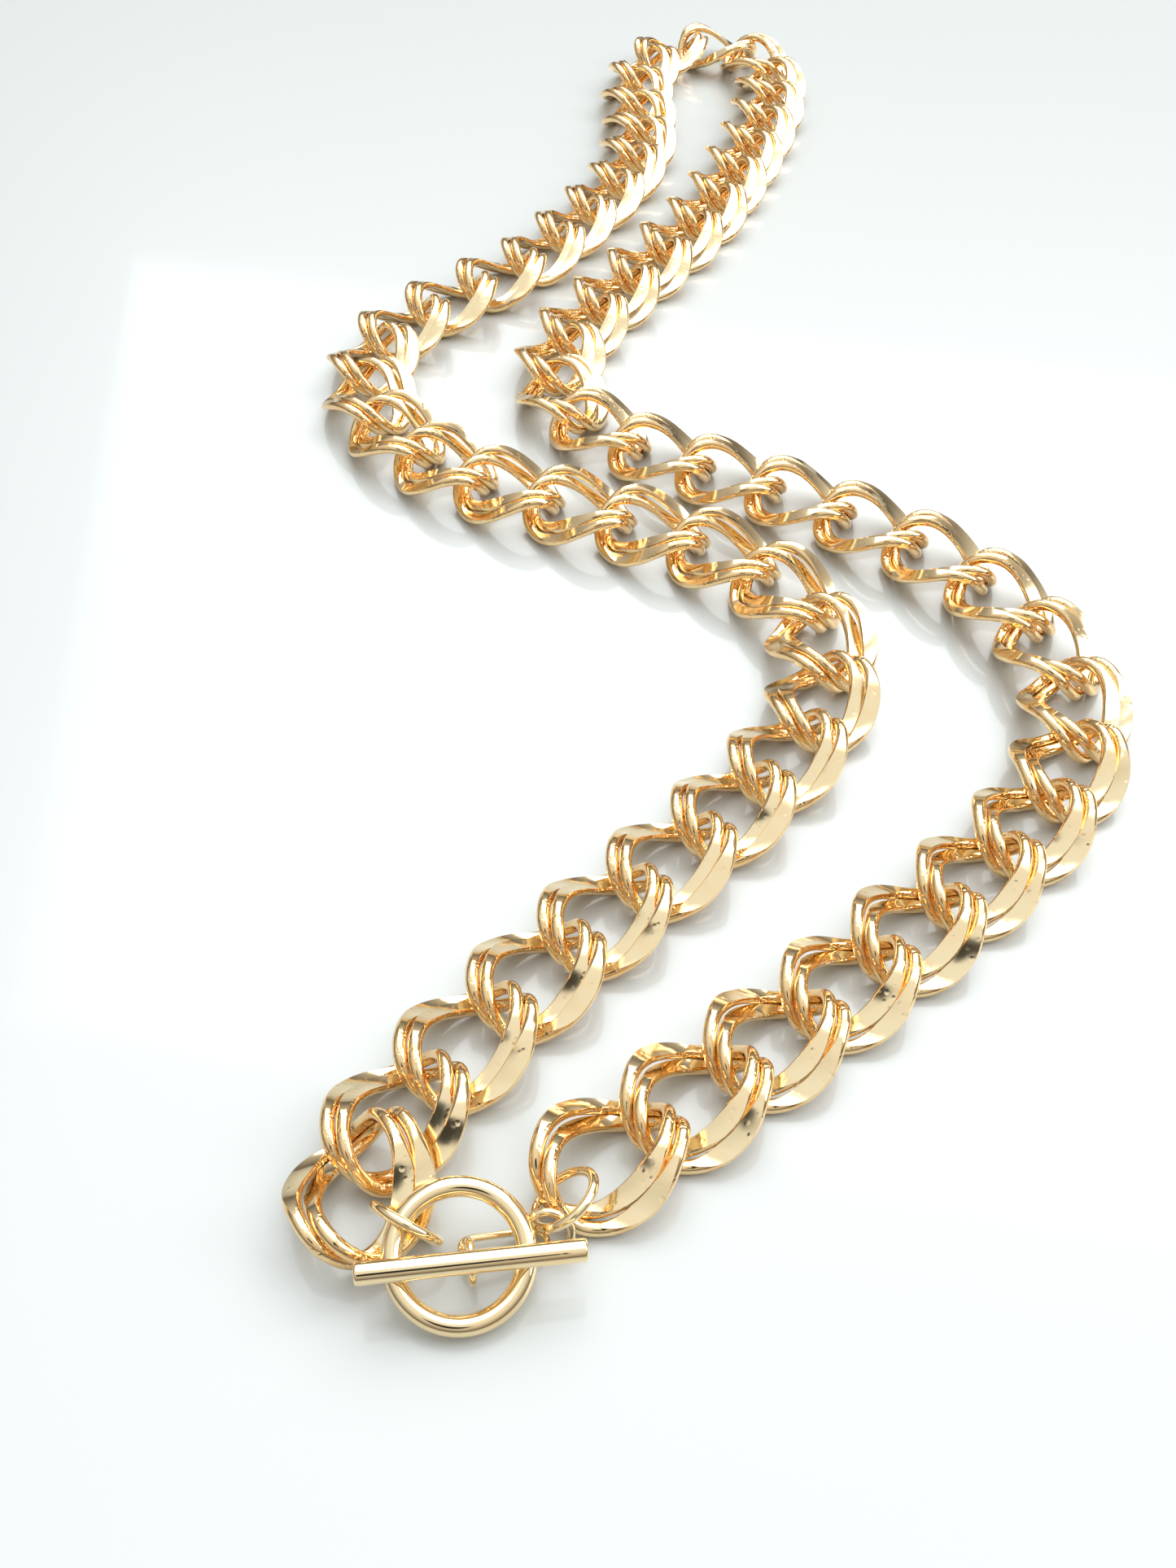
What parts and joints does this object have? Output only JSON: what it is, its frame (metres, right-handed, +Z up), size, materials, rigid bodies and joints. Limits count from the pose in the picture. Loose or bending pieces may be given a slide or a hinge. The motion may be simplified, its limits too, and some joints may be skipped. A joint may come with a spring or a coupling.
{
  "type": "chain necklace",
  "caption": "Double-link curb chain necklace with a round toggle ring and bar clasp, laid out closed on a flat surface.",
  "frame": {"origin": "under the middle of the laid-out necklace's box, at its lowest point, on the surface it lies on", "axes": "+Z up, +Y from the clasp to the far turn of the chain, +X to the bar's side"},
  "size_m": [0.0816, 0.212, 0.0055],
  "materials": {
    "chain_gold": "polished",
    "clasp_gold": "mirror polished"
  },
  "bodies": {
    "laid_chain": {"link_pair_01": "chain_gold", "link_pair_03": "chain_gold", "link_pair_05": "chain_gold", "link_pair_07": "chain_gold", "link_pair_09": "chain_gold", "link_pair_11": "chain_gold", "link_pair_13": "chain_gold", "link_pair_15": "chain_gold", "link_pair_17": "chain_gold", "link_pair_19": "chain_gold", "link_pair_21": "chain_gold", "link_pair_23": "chain_gold", "link_pairs_26_27": "chain_gold", "link_pairs_30_31": "chain_gold", "link_pairs_34_35": "chain_gold", "link_pairs_38_39": "chain_gold", "link_pair_41": "chain_gold", "link_pair_43": "chain_gold", "link_pair_45": "chain_gold", "link_pair_47": "chain_gold", "link_pair_49": "chain_gold", "link_pair_51": "chain_gold", "link_pair_53": "chain_gold", "link_pair_55": "chain_gold", "link_pair_57": "chain_gold", "link_pair_59": "chain_gold", "link_pair_61": "chain_gold"},
    "link_pair_02": {"link_pair_02": "chain_gold"},
    "link_pair_04": {"link_pair_04": "chain_gold"},
    "link_pair_06": {"link_pair_06": "chain_gold"},
    "link_pair_08": {"link_pair_08": "chain_gold"},
    "link_pair_10": {"link_pair_10": "chain_gold"},
    "link_pair_12": {"link_pair_12": "chain_gold"},
    "link_pair_14": {"link_pair_14": "chain_gold"},
    "link_pair_16": {"link_pair_16": "chain_gold"},
    "link_pair_18": {"link_pair_18": "chain_gold"},
    "link_pair_20": {"link_pair_20": "chain_gold"},
    "link_pair_22": {"link_pair_22": "chain_gold"},
    "link_pairs_24_25": {"link_pairs_24_25": "chain_gold"},
    "link_pairs_28_29": {"link_pairs_28_29": "chain_gold"},
    "link_pairs_32_33": {"link_pairs_32_33": "chain_gold"},
    "link_pairs_36_37": {"link_pairs_36_37": "chain_gold"},
    "link_pair_40": {"link_pair_40": "chain_gold"},
    "link_pair_42": {"link_pair_42": "chain_gold"},
    "link_pair_44": {"link_pair_44": "chain_gold"},
    "link_pair_46": {"link_pair_46": "chain_gold"},
    "link_pair_48": {"link_pair_48": "chain_gold"},
    "link_pair_50": {"link_pair_50": "chain_gold"},
    "link_pair_52": {"link_pair_52": "chain_gold"},
    "link_pair_54": {"link_pair_54": "chain_gold"},
    "link_pair_56": {"link_pair_56": "chain_gold"},
    "link_pair_58": {"link_pair_58": "chain_gold"},
    "link_pair_60": {"link_pair_60": "chain_gold"},
    "link_pair_62": {"link_pair_62": "chain_gold"},
    "ring_jump_ring": {"ring_jump_ring": "clasp_gold"},
    "toggle_ring": {"toggle_ring": "clasp_gold"},
    "bar_jump_ring": {"bar_jump_ring": "clasp_gold"},
    "small_ring": {"small_ring": "clasp_gold"},
    "oval_ring": {"oval_ring": "clasp_gold"},
    "toggle_bar": {"toggle_bar": "clasp_gold"}
  },
  "joints": [
    {"name": "swivel_02", "type": "hinge", "parent": "laid_chain", "child": "link_pair_02", "pos_m": [0.00237, -0.08495, -0.00001], "axis": [0, 0, 1], "range_deg": [-7, 7]},
    {"name": "swivel_04", "type": "hinge", "parent": "laid_chain", "child": "link_pair_04", "pos_m": [0.0146, -0.07402, -0.00001], "axis": [0, 0, 1], "range_deg": [-7, 7]},
    {"name": "swivel_06", "type": "hinge", "parent": "laid_chain", "child": "link_pair_06", "pos_m": [0.02629, -0.06252, -0.00001], "axis": [0, 0, 1], "range_deg": [-7, 7]},
    {"name": "swivel_08", "type": "hinge", "parent": "laid_chain", "child": "link_pair_08", "pos_m": [0.03518, -0.04888, -0.00001], "axis": [0, 0, 1], "range_deg": [-7, 5.5]},
    {"name": "swivel_10", "type": "hinge", "parent": "laid_chain", "child": "link_pair_10", "pos_m": [0.03346, -0.03285, -0.00001], "axis": [0, 0, 1], "range_deg": [-6.5, 3.5]},
    {"name": "swivel_12", "type": "hinge", "parent": "laid_chain", "child": "link_pair_12", "pos_m": [0.02287, -0.02049, -0.00001], "axis": [0, 0, 1], "range_deg": [-7, 5]},
    {"name": "swivel_14", "type": "hinge", "parent": "laid_chain", "child": "link_pair_14", "pos_m": [0.00893, -0.01187, -0.00001], "axis": [0, 0, 1], "range_deg": [-7, 7]},
    {"name": "swivel_16", "type": "hinge", "parent": "laid_chain", "child": "link_pair_16", "pos_m": [-0.00569, -0.00446, -0.00001], "axis": [0, 0, 1], "range_deg": [-7, 7]},
    {"name": "swivel_18", "type": "hinge", "parent": "laid_chain", "child": "link_pair_18", "pos_m": [-0.01458, 0.00854, -0.00001], "axis": [0, 0, 1], "range_deg": [-1.5, 5]},
    {"name": "swivel_20", "type": "hinge", "parent": "laid_chain", "child": "link_pair_20", "pos_m": [-0.00926, 0.02389, -0.00001], "axis": [0, 0, 1], "range_deg": [-4.5, 7]},
    {"name": "swivel_22", "type": "hinge", "parent": "laid_chain", "child": "link_pair_22", "pos_m": [-0.00101, 0.03807, -0.00001], "axis": [0, 0, 1], "range_deg": [-7, 7]},
    {"name": "swivel_25", "type": "hinge", "parent": "laid_chain", "child": "link_pairs_24_25", "pos_m": [0.00897, 0.06049, -0.00001], "axis": [0, 0, 1], "range_deg": [-3.5, 3]},
    {"name": "swivel_29", "type": "hinge", "parent": "laid_chain", "child": "link_pairs_28_29", "pos_m": [0.01524, 0.09246, -0.00001], "axis": [0, 0, 1], "range_deg": [-3.5, 3]},
    {"name": "swivel_31", "type": "hinge", "parent": "laid_chain", "child": "link_pairs_32_33", "pos_m": [0.00386, 0.10141, -0.00001], "axis": [0, 0, 1], "range_deg": [-1.5, 1]},
    {"name": "swivel_35", "type": "hinge", "parent": "laid_chain", "child": "link_pairs_36_37", "pos_m": [-0.00403, 0.07177, -0.00001], "axis": [0, 0, 1], "range_deg": [-3.5, 2]},
    {"name": "swivel_39", "type": "hinge", "parent": "laid_chain", "child": "link_pair_40", "pos_m": [-0.01461, 0.04111, -0.00001], "axis": [0, 0, 1], "range_deg": [-7, 4.5]},
    {"name": "swivel_41", "type": "hinge", "parent": "laid_chain", "child": "link_pair_42", "pos_m": [-0.02438, 0.02808, -0.00001], "axis": [0, 0, 1], "range_deg": [-5, 7]},
    {"name": "swivel_43", "type": "hinge", "parent": "laid_chain", "child": "link_pair_44", "pos_m": [-0.03472, 0.01543, -0.00001], "axis": [0, 0, 1], "range_deg": [-3, 6]},
    {"name": "swivel_45", "type": "hinge", "parent": "laid_chain", "child": "link_pair_46", "pos_m": [-0.03394, -0.00056, -0.00001], "axis": [0, 0, 1], "range_deg": [-4.5, 7]},
    {"name": "swivel_47", "type": "hinge", "parent": "laid_chain", "child": "link_pair_48", "pos_m": [-0.02213, -0.01176, -0.00001], "axis": [0, 0, 1], "range_deg": [-6, 7]},
    {"name": "swivel_49", "type": "hinge", "parent": "laid_chain", "child": "link_pair_50", "pos_m": [-0.00702, -0.01814, -0.00001], "axis": [0, 0, 1], "range_deg": [-7, 5]},
    {"name": "swivel_51", "type": "hinge", "parent": "laid_chain", "child": "link_pair_52", "pos_m": [0.00734, -0.02591, -0.00001], "axis": [0, 0, 1], "range_deg": [-5.5, 2.5]},
    {"name": "swivel_53", "type": "hinge", "parent": "laid_chain", "child": "link_pair_54", "pos_m": [0.01328, -0.04062, -0.00001], "axis": [0, 0, 1], "range_deg": [-7, 4]},
    {"name": "swivel_55", "type": "hinge", "parent": "laid_chain", "child": "link_pair_56", "pos_m": [0.00583, -0.055, -0.00001], "axis": [0, 0, 1], "range_deg": [-7, 6]},
    {"name": "swivel_57", "type": "hinge", "parent": "laid_chain", "child": "link_pair_58", "pos_m": [-0.00499, -0.06732, -0.00001], "axis": [0, 0, 1], "range_deg": [-6, 7]},
    {"name": "swivel_59", "type": "hinge", "parent": "laid_chain", "child": "link_pair_60", "pos_m": [-0.01565, -0.07978, -0.00001], "axis": [0, 0, 1], "range_deg": [-6, 7]},
    {"name": "swivel_61", "type": "hinge", "parent": "laid_chain", "child": "link_pair_62", "pos_m": [-0.02499, -0.09325, -0.00001], "axis": [0, 0, 1], "range_deg": [-1.3, 0.4]},
    {"name": "ring_jump_swivel", "type": "hinge", "parent": "link_pair_62", "child": "ring_jump_ring", "pos_m": [-0.02519, -0.09985, 0.00259], "axis": [0, 0, 1], "range_deg": [-1.3, 0.7]},
    {"name": "ring_turn", "type": "hinge", "parent": "ring_jump_ring", "child": "toggle_ring", "pos_m": [-0.01739, -0.10095, 0.00274], "axis": [0.0747, -0.3371, 0.9385], "range_deg": [-180, 180]},
    {"name": "bar_jump_swivel", "type": "hinge", "parent": "laid_chain", "child": "bar_jump_ring", "pos_m": [-0.01039, -0.09525, 0.00245], "axis": [0, 0, 1], "range_deg": [-0.7, 1]},
    {"name": "small_ring_swivel", "type": "hinge", "parent": "bar_jump_ring", "child": "small_ring", "pos_m": [-0.01088, -0.09746, 0.00204], "axis": [0, 0, 1], "range_deg": [-0.7, 1.4]},
    {"name": "oval_ring_swivel", "type": "hinge", "parent": "small_ring", "child": "oval_ring", "pos_m": [-0.01254, -0.09878, 0.00096], "axis": [0, 0, 1], "range_deg": [-0.7, 2]},
    {"name": "bar_swivel", "type": "hinge", "parent": "oval_ring", "child": "toggle_bar", "pos_m": [-0.01659, -0.10118, 0.00229], "axis": [0, 0, 1], "range_deg": [-2.7, 0]}
  ]
}
